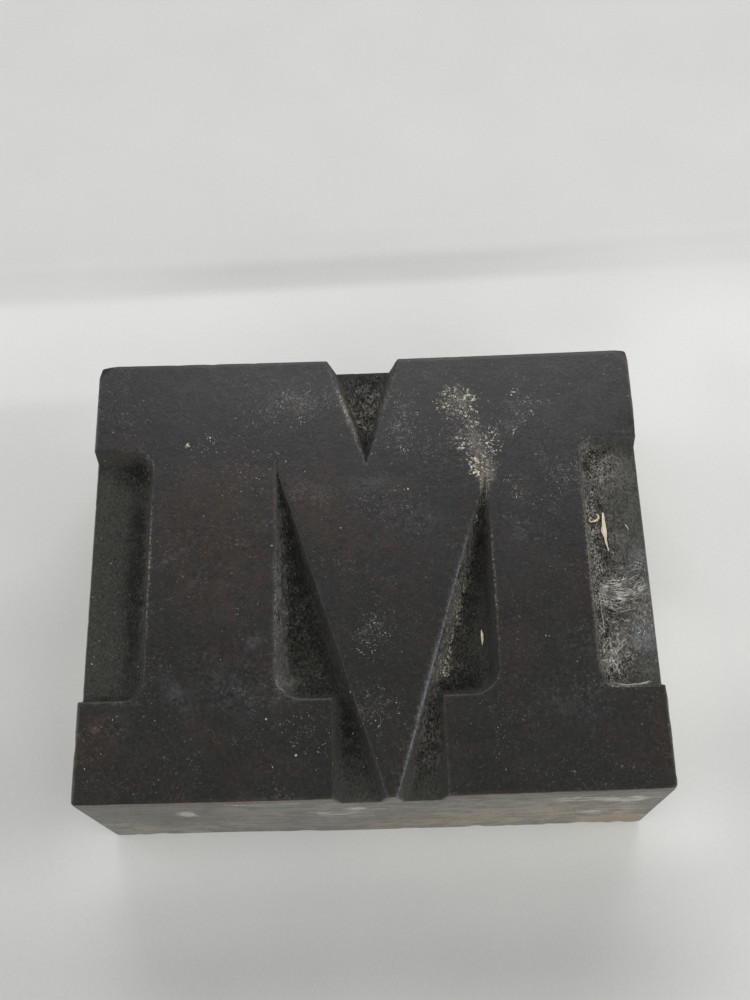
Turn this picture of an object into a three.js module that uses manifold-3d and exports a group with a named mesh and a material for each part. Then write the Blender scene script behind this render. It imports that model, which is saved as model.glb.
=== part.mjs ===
// A wood type letter: a capital M with slab serifs, cut in reverse on one block of hard wood.
// The letter is what is left standing when a router sinks the counters around it with its tapered cutter.
// Millimetres, +Z up. The origin is the middle of the foot, which stands on the bed of the press. The letter's
// head lies towards +Y, its heavy stem towards -X, and its printing face is the top of the block.

import * as THREE from 'three';
import { mergeVertices } from 'three/addons/utils/BufferGeometryUtils.js';
import Module from 'manifold-3d';

// The block's body size, along Y, and the height that all type shares.
const bodySize = 54.15;
const typeHeight = 23.56;

// Handling has rounded the block's long edges and its upright corners.
const arrisWear = 0.2;
const cornerWear = 0.4;

// The letter's widths, along X. The two stems are of unlike weight. At the letter's foot a channel parts each
// inner serif from the point where the diagonals meet.
const outerSerif = 7.25;
const heavyStem = 14.9;
const innerSerif = 6.4;
const heavyChannelMouth = 5.75;
const vertexWidth = 1.15;
const lightChannelMouth = 5.45;
const lightStem = 11.15;

// The letter's heights, along Y: the slabs of the serifs, and how far down the diagonals leave the stems.
const headSlab = 11.8;
const footSlab = 11.45;
const innerFootSlab = 11.2;
const heavyApexDrop = 14.6;
const lightApexDrop = 15.6;

// The notch between the diagonals at the letter's head: how far across from the heavy stem its tip lies, which is
// the width of the light diagonal there, and how far each side leans out from the tip.
const lightDiagonal = 10.8;
const notchLength = 14.2;
const notchLeanLight = 4.6;
const notchLeanHeavy = 4.2;

// How deep each cut goes below the face. An inner counter is cut to one depth, and then its wide end is sunk
// further by a second cut, which leaves a narrow ledge round the pocket and a low step where the channel starts.
const sideDepth = 2.3;
const counterDepth = 2.5;
const pocketDepth = 3.1;
const notchDepth = 3.6;
const pocketLedge = 0.12;

// The taper of the cutter, as run over depth, and the radius that it leaves at the face in each kind of corner.
const taperShare = 0.28;
const sideCorner = 2.4;
const pocketCorner = 3.2;
const channelEndCorner = 1.7;

// How far each cut runs out past the block and above the face, and the steps in a quarter round.
const overrun = 1;
const quarterSteps = 8;

// The set width of the block is what the letter needs.
const channelMouths = heavyChannelMouth + vertexWidth + lightChannelMouth;
const setWidth = 2 * outerSerif + heavyStem + 2 * innerSerif + channelMouths + lightStem;

const sides = {
  left: -setWidth / 2,
  right: setWidth / 2,
  head: bodySize / 2,
  foot: -bodySize / 2,
};

const letter = {
  heavyOuter: sides.left + outerSerif,
  heavyInner: sides.left + outerSerif + heavyStem,
  lightInner: sides.right - outerSerif - lightStem,
  lightOuter: sides.right - outerSerif,
  headSlabEdge: sides.head - headSlab,
  footSlabEdge: sides.foot + footSlab,
  innerFootEdge: sides.foot + innerFootSlab,
};
letter.heavySerifEnd = letter.heavyInner + innerSerif;
letter.lightSerifEnd = letter.lightInner - innerSerif;

// Points of the letter's face, in plan.
const heavyApex = new THREE.Vector2(letter.heavyInner, sides.head - heavyApexDrop);
const lightApex = new THREE.Vector2(letter.lightInner, sides.head - lightApexDrop);
const vertexHeavy = new THREE.Vector2(letter.heavySerifEnd + heavyChannelMouth, sides.foot);
const vertexLight = new THREE.Vector2(vertexHeavy.x + vertexWidth, sides.foot);
const notchTip = new THREE.Vector2(letter.heavyInner + lightDiagonal, sides.head - notchLength);
const notchLight = new THREE.Vector2(notchTip.x - notchLeanLight, sides.head);
const notchHeavy = new THREE.Vector2(notchTip.x + notchLeanHeavy, sides.head);

// The point at height y on the line through two points.
function onLine(from, to, y) {
  return new THREE.Vector2().lerpVectors(from, to, (y - from.y) / (to.y - from.y));
}

// A corner of a cut: where it is at the face, and the radius that the cutter leaves in it.
function corner(x, y, radius = 0) {
  return { point: new THREE.Vector2(x, y), radius };
}

// The corners of a cut the other way round, for one that lies on the other side of the letter.
function otherWayRound(corners) {
  return [...corners].reverse();
}

// Where two lines cross, each given by a point and a direction.
function crossing(a, alongA, b, alongB) {
  const reach = new THREE.Vector2().subVectors(b, a).cross(alongB) / alongA.cross(alongB);
  return a.clone().addScaledVector(alongA, reach);
}

// The outline of a cut whose corners run anticlockwise, after every side has moved in by inset.
function cutOutline(corners, inset) {
  const ways = corners.map(({ point }, i) => {
    const next = corners[(i + 1) % corners.length].point;
    return new THREE.Vector2().subVectors(next, point).normalize();
  });
  const points = [];
  corners.forEach(({ point, radius }, i) => {
    const wayIn = ways[(i + corners.length - 1) % corners.length];
    const wayOut = ways[i];
    const inwards = (way) => new THREE.Vector2(-way.y, way.x);
    const sideIn = point.clone().addScaledVector(inwards(wayIn), inset);
    const sideOut = point.clone().addScaledVector(inwards(wayOut), inset);
    const sharp = crossing(sideIn, wayIn, sideOut, wayOut);
    if (radius === 0) {
      points.push(sharp);
      return;
    }
    const round = radius - inset;
    const turn = Math.atan2(wayIn.cross(wayOut), wayIn.dot(wayOut));
    const tangent = sharp.clone().addScaledVector(wayIn, -round * Math.tan(turn / 2));
    const centre = tangent.clone().addScaledVector(inwards(wayIn), round);
    const steps = Math.ceil((quarterSteps * turn) / (Math.PI / 2));
    for (let step = 0; step <= steps; step += 1) {
      points.push(tangent.clone().rotateAround(centre, (turn * step) / steps));
    }
  });
  return points;
}

// The solid that a tapered cutter clears: wide above the face, and closing in to a flat floor. The whole cut
// can stand in from its corners, by ledge.
function taperedCut(corners, depth, ledge = 0) {
  const rim = cutOutline(corners, ledge - overrun * taperShare);
  const floor = cutOutline(corners, ledge + depth * taperShare);
  const height = depth + overrun;
  const geometry = new THREE.ExtrudeGeometry(new THREE.Shape(rim), { depth: height, bevelEnabled: false });
  const position = geometry.attributes.position;
  const vertex = new THREE.Vector2();
  for (let i = 0; i < position.count; i += 1) {
    if (position.getZ(i) === 0) {
      vertex.fromBufferAttribute(position, i);
      const distances = rim.map((point) => point.distanceToSquared(vertex));
      const low = floor[distances.indexOf(Math.min(...distances))];
      position.setXY(i, low.x, low.y);
    }
  }
  return geometry.translate(0, 0, typeHeight - depth);
}

// The plain block, with its edges and corners worn round.
function block() {
  const halfWidth = setWidth / 2;
  const halfBody = bodySize / 2;
  const plan = new THREE.Shape();
  plan.moveTo(cornerWear - halfWidth, -halfBody);
  plan.absarc(halfWidth - cornerWear, cornerWear - halfBody, cornerWear, -Math.PI / 2, 0);
  plan.absarc(halfWidth - cornerWear, halfBody - cornerWear, cornerWear, 0, Math.PI / 2);
  plan.absarc(cornerWear - halfWidth, halfBody - cornerWear, cornerWear, Math.PI / 2, Math.PI);
  plan.absarc(cornerWear - halfWidth, cornerWear - halfBody, cornerWear, Math.PI, 1.5 * Math.PI);
  const geometry = new THREE.ExtrudeGeometry(plan, {
    depth: typeHeight - 2 * arrisWear,
    curveSegments: quarterSteps / 2,
    bevelEnabled: true,
    bevelThickness: arrisWear,
    bevelSize: arrisWear,
    bevelOffset: -arrisWear,
    bevelSegments: quarterSteps / 2,
  });
  return geometry.translate(0, 0, arrisWear);
}

// The shallow cut outside a stem, between its head and foot serifs, open to the side of the block.
function sideCut(stemSide, blockSide) {
  const outwards = Math.sign(blockSide - stemSide);
  const open = blockSide + outwards * overrun;
  const corners = [
    corner(open, letter.footSlabEdge),
    corner(open, letter.headSlabEdge),
    corner(stemSide, letter.headSlabEdge, sideCorner),
    corner(stemSide, letter.footSlabEdge, sideCorner),
  ];
  return taperedCut(outwards > 0 ? corners : otherWayRound(corners), sideDepth);
}

// The counter between a stem and the diagonal that leaves it: three-sided, with a channel out to the foot of the
// block between the inner serif and the diagonal.
function counterCut(apex, vertex, serifEnd) {
  const openFoot = sides.foot - overrun;
  const diagonalFoot = onLine(apex, vertex, openFoot);
  const corners = [
    corner(apex.x, apex.y),
    corner(apex.x, letter.innerFootEdge, pocketCorner),
    corner(serifEnd, letter.innerFootEdge),
    corner(serifEnd, openFoot),
    corner(diagonalFoot.x, diagonalFoot.y),
  ];
  return taperedCut(diagonalFoot.x > apex.x ? corners : otherWayRound(corners), counterDepth);
}

// The second cut, which sinks the counter's wide end.
function pocketCut(apex, vertex) {
  const diagonalFoot = onLine(apex, vertex, letter.innerFootEdge);
  const corners = [
    corner(apex.x, apex.y),
    corner(apex.x, letter.innerFootEdge, pocketCorner),
    corner(diagonalFoot.x, diagonalFoot.y, channelEndCorner),
  ];
  return taperedCut(diagonalFoot.x > apex.x ? corners : otherWayRound(corners), pocketDepth, pocketLedge);
}

// The notch between the diagonals, open to the head of the block.
function notchCut() {
  const openHead = sides.head + overrun;
  const light = onLine(notchTip, notchLight, openHead);
  const heavy = onLine(notchTip, notchHeavy, openHead);
  return taperedCut([corner(notchTip.x, notchTip.y), corner(heavy.x, heavy.y), corner(light.x, light.y)],
    notchDepth);
}

const wasm = await Module();
wasm.setup();

function solid(geometry) {
  geometry.deleteAttribute('normal');
  geometry.deleteAttribute('uv');
  const merged = mergeVertices(geometry);
  return new wasm.Manifold(new wasm.Mesh({
    numProp: 3,
    vertProperties: merged.attributes.position.array,
    triVerts: new Uint32Array(merged.index.array),
  }));
}

const cuts = [
  sideCut(letter.heavyOuter, sides.left),
  sideCut(letter.lightOuter, sides.right),
  counterCut(heavyApex, vertexHeavy, letter.heavySerifEnd),
  counterCut(lightApex, vertexLight, letter.lightSerifEnd),
  pocketCut(heavyApex, vertexHeavy),
  pocketCut(lightApex, vertexLight),
  notchCut(),
];

const cutBlock = cuts.reduce((body, cut) => body.subtract(solid(cut)), solid(block())).getMesh();
const typeGeometry = new THREE.BufferGeometry();
typeGeometry.setAttribute('position', new THREE.BufferAttribute(new Float32Array(cutBlock.vertProperties), 3));
typeGeometry.setIndex(new THREE.BufferAttribute(new Uint32Array(cutBlock.triVerts), 1));
typeGeometry.computeVertexNormals();

const inkedWood = new THREE.MeshStandardMaterial({ color: 0x2b2728, roughness: 0.5, metalness: 0 });
const typeBlock = new THREE.Mesh(typeGeometry, inkedWood);
typeBlock.name = 'type_block';

const woodTypeLetter = new THREE.Group();
woodTypeLetter.name = 'wood_type_letter';
woodTypeLetter.add(typeBlock);

export default woodTypeLetter;
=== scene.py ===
# A wood type letter, dressed around its packed block: the worn, inked wood, and the dust, lint and splinters
# that lie in its counters. Sizes are in millimetres, and each finished mesh is scaled to metres.

import math
import random

import bmesh
import bpy
from mathutils import Matrix, Vector, noise
from mathutils.bvhtree import BVHTree
from mathutils.kdtree import KDTree


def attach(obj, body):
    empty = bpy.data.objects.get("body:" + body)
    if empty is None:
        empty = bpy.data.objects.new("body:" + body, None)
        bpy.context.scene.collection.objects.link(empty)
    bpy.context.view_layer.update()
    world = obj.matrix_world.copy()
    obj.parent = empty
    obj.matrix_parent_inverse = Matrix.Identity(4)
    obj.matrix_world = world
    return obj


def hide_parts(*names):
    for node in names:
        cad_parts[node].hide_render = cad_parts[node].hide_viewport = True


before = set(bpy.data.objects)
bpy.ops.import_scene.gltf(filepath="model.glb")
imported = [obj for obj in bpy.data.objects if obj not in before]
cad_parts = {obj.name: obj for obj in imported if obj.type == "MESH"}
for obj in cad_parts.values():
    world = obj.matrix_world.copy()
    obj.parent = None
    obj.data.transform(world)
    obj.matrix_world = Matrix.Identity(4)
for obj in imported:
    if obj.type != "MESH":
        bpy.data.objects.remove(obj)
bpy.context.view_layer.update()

# The block
# One piece of close-grained hard wood, planed to type height. A router sank the counters with a tapered cutter
# and left the letter standing in the same wood. Here the letter's rim is worn round, and the faces are cut up
# fine enough to carry wear.
MM = 0.001
UP = Vector((0, 0, 1))
DOWN = -UP

wood = bmesh.new()
wood.from_mesh(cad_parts["type_block"].data)
bmesh.ops.scale(wood, vec=(1 / MM,) * 3, verts=wood.verts)
bmesh.ops.remove_doubles(wood, verts=wood.verts, dist=0.002)
bmesh.ops.dissolve_limit(wood, angle_limit=math.radians(0.6), verts=wood.verts, edges=wood.edges)

low = Vector(min(v.co[axis] for v in wood.verts) for axis in range(3))
high = Vector(max(v.co[axis] for v in wood.verts) for axis in range(3))
half_width, half_body, type_height = high

# What each face of the wood is: part of the outside, a wall or a floor of a cut, or the worn rim of the letter.
OUTSIDE, WALL, FLOOR, RIM = range(4)
wall_tilt = (0.24, 0.30)
shallowest_cut, deepest_cut = 1.0, 4.4
part_of = wood.faces.layers.int.new("part_of")
for face in wood.faces:
    depth = type_height - face.calc_center_median().z
    if wall_tilt[0] < face.normal.z < wall_tilt[1] and depth < deepest_cut:
        face[part_of] = WALL
    elif face.normal.z > 0.99 and shallowest_cut < depth < deepest_cut:
        face[part_of] = FLOOR

rim_wear = 0.17
rim_angle = math.radians(40)
rim_edges = [
    edge for edge in wood.edges
    if edge.is_convex
    and edge.calc_face_angle() > rim_angle
    and any(f[part_of] == OUTSIDE for f in edge.link_faces)
    and min(v.co.z for v in edge.verts) > type_height - deepest_cut
]
rim = bmesh.ops.bevel(wood, geom=rim_edges, offset=rim_wear, offset_type="OFFSET", affect="EDGES",
    segments=3, profile=0.5, material=-1, clamp_overlap=False)
for face in rim["faces"]:
    face[part_of] = RIM


def slice_up(faces, axis, step, offset=1.0):
    """Cuts the faces along planes a step apart across one axis, so that wear can move each bit of wood."""
    across = Vector(float(axis == i) for i in range(3))
    ahead = {f: max(v.co[axis] for v in f.verts) for f in faces}
    place = low[axis] + step * offset
    while place < high[axis]:
        ahead = {f: far for f, far in ahead.items() if far > place}
        met = [f for f in ahead if min(v.co[axis] for v in f.verts) < place]
        if met:
            parts = met + list({e for f in met for e in f.edges}) + list({v for f in met for v in f.verts})
            cut = bmesh.ops.bisect_plane(wood, geom=parts, dist=0.01, plane_co=across * place, plane_no=across)
            for f in cut["geom"]:
                if isinstance(f, bmesh.types.BMFace):
                    ahead[f] = max(v.co[axis] for v in f.verts)
        place += step


outside_step = 0.45
foot_step = 0.9
midway = 0.5
for axis in (0, 1):
    slice_up([f for f in wood.faces if f.normal.z < -0.9], axis, foot_step)
    slice_up([f for f in wood.faces if f[part_of] in (WALL, FLOOR)], axis, outside_step, midway)
    slice_up([f for f in wood.faces if f.normal.z > -0.9], axis, outside_step)
slice_up([f for f in wood.faces if abs(f.normal.z) < 0.9], 2, outside_step)
bmesh.ops.triangulate(wood, faces=[f for f in wood.faces if len(f.verts) > 4])
wood.normal_update()

# The narrow ledge round each pocket belongs to its wall.
counter_depth = 2.5
ledge_breadth = 0.16
for face in wood.faces:
    depth = type_height - face.calc_center_median().z
    if face[part_of] == FLOOR and abs(depth - counter_depth) < 0.1:
        if face.calc_area() / max(e.calc_length() for e in face.edges) < ledge_breadth:
            face[part_of] = WALL

# The wear of the block
# What long use in the press has done. The face has sunk a little in its middle, the long sides bow with it, the
# corners are knocked, and the routed floors are rough with torn fibre.


def ripple(point, size, seed):
    """Smooth noise from -1 to 1, with features of about that size."""
    return noise.noise(point / size + Vector((seed, seed, seed)))


def smooth_step(value, start, end):
    share = min(max((value - start) / (end - start), 0), 1)
    return share * share * (3 - 2 * share)


part_share = {}
for vertex in wood.verts:
    kinds = [f[part_of] for f in vertex.link_faces]
    part_share[vertex] = [kinds.count(kind) / len(kinds) for kind in (OUTSIDE, WALL, FLOOR, RIM)]

# Below the rim, the corners of the cuts are soft with fibre, and the ledges round the pockets most of all.
below_rim = 0.7
ledge_reach = 0.62
floor_share = 0.7
in_cuts = [
    v for v in wood.verts
    if part_share[v][WALL] + part_share[v][FLOOR] == 1 and v.co.z < type_height - below_rim
]
ledges = [
    v for v in in_cuts
    if abs(type_height - v.co.z - counter_depth) < ledge_reach and part_share[v][FLOOR] < floor_share
]
for softened, passes in ((ledges, 30), (in_cuts, 6)):
    for _ in range(passes):
        bmesh.ops.smooth_vert(wood, verts=softened, factor=0.5, use_axis_x=True, use_axis_y=True,
            use_axis_z=True)

face_dish = 0.12
back_bow, front_bow = 0.17, 0.12
foot_lean = 0.21
outer_serif = 7.25
side_cut_wall = half_width - outer_serif
rough_band = 2.6
felt_depth = 0.07
for vertex in wood.verts:
    _, wall, floor, _ = part_share[vertex]
    at = vertex.co.copy()
    normal = vertex.normal.copy()
    along = at.x / half_width
    across = at.y / half_body
    raised = at.z / type_height
    # The face is dished, and the long sides follow it.
    vertex.co.z -= face_dish * (1 - along ** 2) * raised
    bow = back_bow * (1 - along ** 2) if at.y > 0 else -front_bow * along ** 2
    vertex.co.y -= bow * abs(across) * raised
    # The front side leans in a little at the heavy stem's foot.
    if at.y < 0:
        vertex.co.y += foot_lean * smooth_step(-along, 0.1, 0.6) * abs(across) * (1 - raised)
    # Nothing on the block is quite flat or straight.
    for size, uneven, seed in ((9, 0.012, 3), (1.3, 0.006, 5)):
        vertex.co -= normal * (uneven + uneven * ripple(at, size, seed)) * (1 - floor)
    if floor + wall:
        near_wall = max(0.0, 1 - (at.x - side_cut_wall) / rough_band) if at.x > side_cut_wall else 0.0
        depth = felt_depth + felt_depth * near_wall
        felt = ripple(at, 1.7, 11) * 0.8 + ripple(at, 0.8, 13) + ripple(at, 0.45, 17) * 0.9
        vertex.co += normal * depth * felt * (floor + 0.35 * wall)

# Knocks: where each one hit an edge of the block, how far it reaches, and how deep it went.
knocks = [
    ((-half_width, half_body, type_height), 1.6, 0.34),
    ((-half_width + 1.2, half_body, type_height), 1.3, 0.10),
    ((-half_width, -half_body, type_height), 1.2, 0.10),
    ((half_width, -half_body, type_height), 1.2, 0.12),
    ((half_width, half_body, type_height), 1.6, 0.22),
    ((-half_width, -half_body, 0), 1.2, 0.10),
    ((half_width, -half_body, 0), 1.2, 0.16),
    ((half_width, half_body, 0), 2.0, 0.35),
    ((-half_width, half_body, 0), 2.6, 0.45),
    ((24.9, -half_body, 0), 1.4, 0.24),
    ((27.6, -half_body, 0), 1.0, 0.28),
    ((29.9, -half_body, 0), 1.2, 0.20),
    ((half_width, 16.2, type_height), 3.0, 0.15),
    ((half_width, -15.9, type_height), 1.2, 0.14),
    ((12.2, -half_body, 0), 1.4, 0.22),
    ((-9.4, -half_body, 0), 1.2, 0.16),
    ((21.5, -half_body, 0), 0.9, 0.20),
]
luck = random.Random(41)
for level, count, deepest in ((type_height, 34, 0.10), (0.0, 46, 0.20)):
    for _ in range(count):
        on_long_side = luck.random() < 0.55
        side = luck.choice((-1, 1))
        run = luck.uniform(-1, 1)
        if on_long_side:
            spot = (run * half_width, side * half_body, level)
        else:
            spot = (side * half_width, run * half_body, level)
        knocks.append((spot, luck.uniform(0.5, 1.5), luck.uniform(0.2, 1) * deepest))

nearby = KDTree(len(wood.verts))
worn = list(wood.verts)
for index, vertex in enumerate(worn):
    nearby.insert(vertex.co, index)
nearby.balance()
# How bare a knock has left the wood, which a deep one lays open.
bared = dict.fromkeys(worn, 0.0)
baring_depth = 0.3
edge_reach = 0.5
block_middle = (low + high) / 2
for spot, reach, depth in knocks:
    spot = Vector(spot)
    at_side = [min(spot[i] - low[i], high[i] - spot[i]) < edge_reach for i in range(3)]
    inwards = Vector(-math.copysign(1, spot[i] - block_middle[i]) if at_side[i] else 0 for i in range(3))
    inwards.normalize()
    for place, index, distance in nearby.find_range(spot, reach):
        strength = (1 - (distance / reach) ** 2) ** 2 * (0.8 + 0.4 * ripple(place, 0.8, 21))
        worn[index].co += inwards * depth * strength
        bared[worn[index]] = max(bared[worn[index]], strength * min(1, depth / baring_depth))

# Small nicks along the letter's rim.
rim_nicks = 90
rim_places = [v for v in worn if part_share[v][RIM] > 0.9]
for place in luck.sample(rim_places, rim_nicks):
    reach, depth = luck.uniform(0.2, 0.5), luck.uniform(0.01, 0.05)
    for _, index, distance in nearby.find_range(place.co, reach):
        worn[index].co -= place.normal * depth * (1 - (distance / reach) ** 2) ** 2

# The worn block stays inside the plain one.
skin = 0.002
for vertex in worn:
    vertex.co = Vector(min(max(vertex.co[i], low[i] + skin), high[i] - skin) for i in range(3))
wood.normal_update()
surface = BVHTree.FromBMesh(wood)

# The marks on the block
# Use and storage have left most of these: powder, brown ink and a pale haze on the face, torn wood, soot and
# dust in the cuts, and grime on the front side. Some haze along the rims is painted highlight, and some soot at
# the foot of the walls is painted shadow. Each mark is a soft-edged ellipse: its middle, its half length and
# half width, its turn in degrees, and its strength.
powder_marks = [
    (11.4, 20.5, 2.6, 2.3, 75, 1.0), (13.8, 14.2, 3.4, 1.7, 100, 0.95), (14.3, 11.0, 2.0, 1.5, 90, 1.1),
    (14.0, 9.6, 2.6, 0.7, 86, 0.36), (11.6, 16.0, 2.6, 2.4, 0, 0.45), (19.1, 19.6, 2.8, 2.6, 0, 0.49),
    (17.0, 16.6, 1.8, 1.4, 0, 0.40), (23.4, 10.2, 2.2, 3.2, 0, 0.34), (18.4, 8.5, 3.6, 1.6, -30, 0.36),
    (5.3, 15.4, 4.4, 3.2, 0, 0.30), (4.6, 20.0, 2.6, 3.4, 0, 0.42), (-9.6, 20.0, 4.6, 2.8, 20, 0.44),
    (-5.6, 21.4, 2.6, 2.2, 0, 0.30), (-19.4, 15.6, 2.8, 1.8, 0, 0.30), (-28.4, 18.6, 2.4, 3.8, 0, 0.18),
    (0.2, -8.3, 2.6, 2.6, 0, 0.40), (0.4, -17.3, 2.8, 2.2, 0, 0.34), (-8.0, -20.0, 3.4, 2.6, 0, 0.16),
    (-13.0, 12.0, 4.6, 3.0, 30, 0.16), (-6.0, 8.4, 2.4, 2.6, 0, 0.14), (3.2, 7.6, 3.4, 2.6, 0, 0.16),
    (20.5, -6.0, 3.0, 6.0, 0, 0.10), (25.75, -1.0, 16.0, 0.45, 90, 0.55), (-29.4, 15.4, 4.4, 0.4, 0, 0.2),
    (27.8, -15.4, 3.4, 0.5, 0, 0.9), (26.6, 14.6, 2.0, 0.8, -50, 0.35), (-25.55, 1.0, 14.0, 0.3, 90, 0.55),
    (-26.2, 14.2, 1.6, 0.5, -50, 0.45), (-10.6, -6.0, 9.0, 0.4, 90, 0.4), (-10.0, -14.6, 1.8, 0.7, -45, 0.35),
    (10.2, -6.0, 9.0, 0.3, 74.3, 0.5), (9.0, -10.8, 2.4, 0.36, 74, 0.5), (8.6, -12.2, 1.0, 0.8, 0, 0.45),
    (-2.0, 19.4, 6.4, 0.8, -72, 0.75), (2.2, 20.4, 5.6, 0.5, 73, 0.3), (10.2, -4.0, 13.0, 0.5, 72.9, 0.4),
    (14.6, -2.0, 11.0, 0.3, 90, 0.5),
]
brown_marks = [
    (-18.6, 3.6, 11.0, 8.4, 80, 0.8), (-20.0, 9.0, 4.4, 4.0, 20, 0.45), (-16.6, -1.8, 5.0, 4.4, 0, 0.6),
    (-13.0, 12.0, 4.0, 3.0, 0, 0.4), (-6.4, 9.0, 4.6, 3.2, 40, 0.85), (-3.0, 3.6, 6.4, 4.0, -60, 0.6),
    (3.4, 2.0, 4.4, 4.0, 0, 0.35), (14.6, 14.0, 6.0, 5.0, 0, 0.25), (3.6, 9.4, 3.4, 2.6, 10, 0.55),
    (-9.4, 20.6, 2.8, 2.2, 0, 0.5), (-29.0, 16.0, 3.4, 3.0, 0, 0.4), (18.6, 6.0, 2.0, 5.0, 0, 0.3),
    (10.1, -22.0, 1.8, 1.2, -10, 1.0), (-30.6, -19.0, 2.6, 2.2, 20, 1.3), (-30.8, -22.6, 2.2, 4.2, 0, 0.6),
    (8.4, -14.3, 2.4, 1.1, -60, 0.7), (-8.8, -13.2, 2.0, 1.2, -40, 0.7), (31.6, -21.0, 1.0, 5.4, 4, 0.8),
    (28.5, -24.0, 3.0, 1.6, 0, 0.4),
]
# The long thin haze marks lie along the rims, where they make the worn rim paler: partly worn ink and partly a
# painted highlight.
haze_and_rim_highlight_marks = [
    (-21.8, -15.0, 2.6, 1.0, -60, 0.55), (-18.9, -10.8, 1.5, 0.9, 0, 0.45), (-13.4, -9.2, 1.9, 0.7, 50, 0.65),
    (-19.5, -1.6, 1.6, 1.0, 30, 0.5), (0.3, 10.0, 2.6, 1.8, 0, 0.5), (-6.4, 9.4, 2.0, 1.6, 0, 0.4),
    (6.0, 5.0, 3.6, 2.4, 0, 0.3), (-16.0, -14.5, 5.0, 3.4, 0, 0.3), (22.0, -16.6, 4.2, 3.0, 0, 0.26),
    (23.6, -10.6, 2.4, 1.6, 0, 0.3), (18.2, 3.6, 1.6, 2.4, 0, 0.35), (24.0, 20.0, 9.0, 7.0, 0, 0.26),
    (-10.0, 23.0, 14.0, 4.0, 0, 0.26), (6.1, -15.4, 13.0, 0.26, 72.9, 1.5),
    (10.85, 0.0, 8.0, 0.26, 72.9, 0.6), (-8.0, -15.8, 4.0, 0.4, 0, 0.6), (-10.6, -3.0, 15.0, 0.4, 90, 0.6),
    (-10.4, -14.4, 1.6, 0.8, -45, 0.6), (-29.0, -15.8, 4.0, 0.4, 0, 0.6), (-23.4, 0.9, 2.6, 0.3, 36, 0.7),
    (-28.4, -18.6, 2.4, 1.6, 0, 0.3), (32.2, 0.4, 1.2, 1.7, 0, 1.1), (30.8, -1.4, 1.8, 1.0, 0, 0.5),
    (31.5, -9.4, 1.7, 2.0, 20, 1.5), (30.0, -8.6, 1.6, 1.0, 0, 0.5),
]
# How torn the wood of each cut is, and where it is almost black. The dark marks are partly old ink and partly
# painted shadow: the long narrow ones lie at the foot of the walls, where shadow falls. The left side cut is
# smooth, and the right one is rough along its wall.
torn_marks = [
    (27.2, -1.0, 15.0, 1.7, 90, 0.95), (27.8, 13.0, 2.8, 2.2, 0, 0.8), (29.4, -1.0, 16.0, 3.6, 90, 0.25),
    (28.2, -12.6, 2.8, 2.2, 0, 0.5), (9.6, -5.0, 13.0, 3.4, 76, 0.95), (9.6, -12.8, 3.4, 2.4, 0, 0.7),
    (14.0, 8.0, 5.0, 1.6, 86, 0.9), (-8.4, -5.0, 13.0, 3.4, 104, 0.9), (-9.8, 8.0, 5.0, 1.6, 94, 0.9),
    (6.4, -20.0, 6.0, 2.2, 76, 0.6), (-2.4, -20.0, 6.0, 2.2, 104, 0.45), (0.2, 20.0, 8.0, 4.4, 90, 1.1),
    (-27.4, 0.0, 16.0, 1.4, 90, 0.45), (-28.0, 12.8, 2.4, 1.6, 0, 0.7), (-29.6, 0.0, 4.0, 17.0, 0, 0.15),
]
soot_and_shadow_marks = [
    (-28.7, 13.3, 1.3, 0.8, -30, 1.5), (-27.6, 11.6, 0.9, 1.2, 0, 0.6), (-27.5, 6.9, 0.8, 1.7, 0, 1.1),
    (-27.8, -2.4, 9.0, 0.6, 90, 0.65), (-27.8, -10.2, 4.0, 0.7, 90, 0.5), (-29.4, -14.9, 4.4, 0.4, 0, 2.0),
    (27.5, 13.2, 1.8, 1.0, 20, 0.8), (26.8, 11.8, 0.6, 1.2, 0, 0.6), (30.0, -7.4, 1.5, 1.2, 0, 0.5),
    (29.4, -12.0, 2.0, 1.4, 0, 0.5), (28.6, 0.6, 1.4, 2.0, 0, 0.4), (13.8, 6.6, 0.8, 1.2, 0, 1.0),
    (12.5, -3.8, 1.2, 1.2, 0, 0.6), (13.6, -4.0, 12.0, 0.45, 90, 0.6), (9.6, -14.2, 4.0, 0.5, 0, 0.6),
    (-7.2, -14.2, 3.0, 0.5, 0, 0.6), (-8.0, -6.6, 1.6, 1.6, 0, 0.35), (-0.2, 17.0, 1.6, 1.4, 0, 0.6),
    (0.0, 26.0, 4.0, 1.0, 0, 0.5),
]
# On the front side the marks are pale, tan or dark with grime, and the second number is a height.
front_pale_marks = [
    (-21.4, 15.6, 1.2, 2.3, 0, 2.6), (-14.6, 21.0, 3.8, 0.8, -30, 1.0), (-8.0, 21.6, 4.0, 0.7, 0, 0.6),
    (-5.0, 14.6, 4.0, 3.4, 0, 0.85), (-2.0, 17.0, 1.3, 1.4, 0, 0.9), (0.7, 16.4, 1.6, 0.9, 0, 0.8),
    (-1.6, 11.2, 2.4, 0.8, 0, 0.7), (8.0, 11.4, 3.0, 0.8, 0, 0.5), (22.4, 18.8, 2.8, 2.0, 0, 1.1),
    (28.2, 17.6, 2.8, 2.4, 0, 1.3), (27.0, 10.0, 4.4, 3.4, 0, 0.8), (-29.0, 10.0, 2.4, 4.4, 0, 0.42),
]
front_tan_marks = [
    (20.0, 8.0, 18.0, 9.0, 0, 0.85), (9.0, 6.4, 7.0, 4.4, 0, 0.5), (0.0, 4.0, 4.6, 2.2, 0, 0.9),
    (28.5, 3.6, 4.4, 3.4, 0, 1.2), (27.6, 1.0, 2.6, 1.6, 0, 1.6), (31.0, 2.4, 2.4, 3.0, 0, 1.2),
    (-29.6, 7.0, 4.0, 6.0, 0, 0.5), (-22.0, 2.0, 8.0, 2.2, 0, 0.4),
]
front_grime_marks = [
    (-26.0, 16.0, 10.0, 9.0, 0, 0.42), (-14.0, 22.6, 22.0, 0.8, 0, 0.5), (2.0, 8.0, 12.0, 7.0, 0, 0.25),
    (24.0, 22.8, 12.0, 0.7, 0, 0.6),
]
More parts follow.
